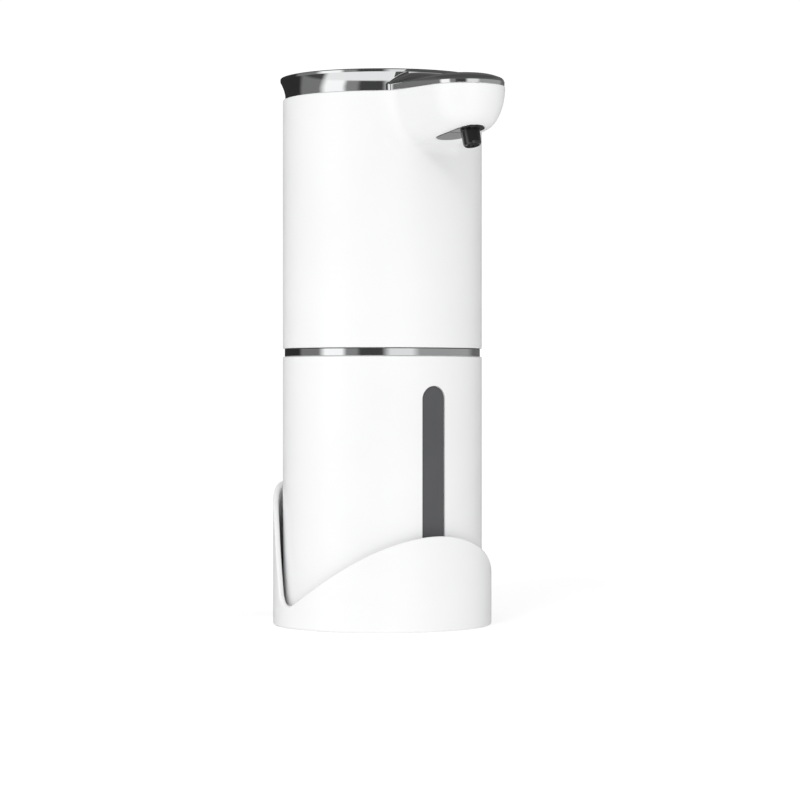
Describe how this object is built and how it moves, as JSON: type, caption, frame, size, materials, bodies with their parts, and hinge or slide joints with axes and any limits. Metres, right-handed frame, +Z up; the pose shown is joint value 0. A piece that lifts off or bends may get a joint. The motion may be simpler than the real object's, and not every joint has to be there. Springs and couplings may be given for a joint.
{
  "type": "wall mounted soap dispenser",
  "caption": "Touchless soap dispenser: white cylinder with a bright rim, a short spout over a sensor, a level window and a cup-shaped wall holder.",
  "frame": {"origin": "on the body's axis, in the plane of the wall holder's underside", "axes": "+Z up along the body's axis, -Y the front with the spout, +Y towards the wall, +X to the user's right when facing the spout"},
  "size_m": [0.079, 0.1117, 0.197],
  "materials": {
    "white_shell": "smooth satin gloss",
    "bright_trim": "plated, polished",
    "black_nozzle": "glossy",
    "smoked_window": "polished, smoked",
    "smoked_tank": "polished, translucent",
    "sensor_lens": "polished, infrared-clear",
    "silicone": "soft matte",
    "foot_rubber": "matte",
    "foam_tape": "matte foam",
    "inner_plastic": "moulded",
    "pump_plastic": "moulded",
    "gear_plastic": "moulded acetal",
    "steel": "turned",
    "circuit_board": "solder mask",
    "black_plastic": "moulded",
    "cell_sleeve": "shrink sleeve",
    "top_gloss": "polished",
    "button_metal": "satin, turned",
    "light_lens": "frosted, translucent"
  },
  "bodies": {
    "holder": {"wall_holder": "white_shell", "wall_pad": "foam_tape"},
    "bottle": {"foot_ring": "foot_rubber", "bottle_base": "white_shell", "bottle_sleeve": "white_shell", "liquid_tank": "smoked_tank", "level_window": "smoked_window", "trim_ring": "bright_trim"},
    "head": {"head_shell": "white_shell", "head_bulkhead": "inner_plastic", "neck_seal": "silicone", "air_valve": "silicone", "dip_tube": "silicone", "dip_filter": "inner_plastic", "pump_housing": "pump_plastic", "pump_cover": "pump_plastic", "pump_screws": "steel", "idler_pin": "steel", "pump_motor": "steel", "delivery_hose": "silicone", "chassis_plate": "inner_plastic", "chassis_screws": "steel", "battery_cell": "cell_sleeve", "battery_cradle": "inner_plastic", "control_board": "circuit_board", "charge_socket": "steel", "nozzle_body": "black_nozzle", "nozzle_insert": "black_plastic", "sensor_window": "sensor_lens", "sensor_module": "circuit_board", "top_trim": "bright_trim", "top_panel": "top_gloss", "status_lens": "light_lens", "button_board": "circuit_board", "tact_switch": "black_plastic"},
    "button": {"power_button": "button_metal"},
    "port_flap": {"port_cover": "silicone"},
    "pump_drive": {"motor_shaft": "steel", "drive_gear": "gear_plastic"},
    "pump_idler": {"idler_gear": "gear_plastic"}
  },
  "joints": [
    {"name": "bottle_lift", "type": "slide", "parent": "holder", "child": "bottle", "axis": [0, 0, 1], "range_m": [0, 0.06]},
    {"name": "head_lift", "type": "slide", "parent": "bottle", "child": "head", "axis": [0, 0, 1], "range_m": [0, 0.1]},
    {"name": "button_press", "type": "slide", "parent": "head", "child": "button", "axis": [0, 0, -1], "range_m": [0, 0.0008], "stiffness_N_per_m": 600},
    {"name": "port_cover_hinge", "type": "hinge", "parent": "head", "child": "port_flap", "pos_m": [0, 0.0352, 0.1203], "axis": [1, 0, 0], "range_deg": [0, 100], "stiffness_Nm_per_rad": 0.002},
    {"name": "pump_spin", "type": "hinge", "parent": "head", "child": "pump_drive", "pos_m": [-0.00605, 0, 0.1085], "axis": [0, 0, 1], "continuous": true},
    {"name": "idler_spin", "type": "hinge", "parent": "head", "child": "pump_idler", "pos_m": [0.00605, 0, 0.1085], "axis": [0, 0, 1], "continuous": true}
  ],
  "couplings": [
    {"joint": "idler_spin", "follows": "pump_spin", "ratio": -1}
  ]
}
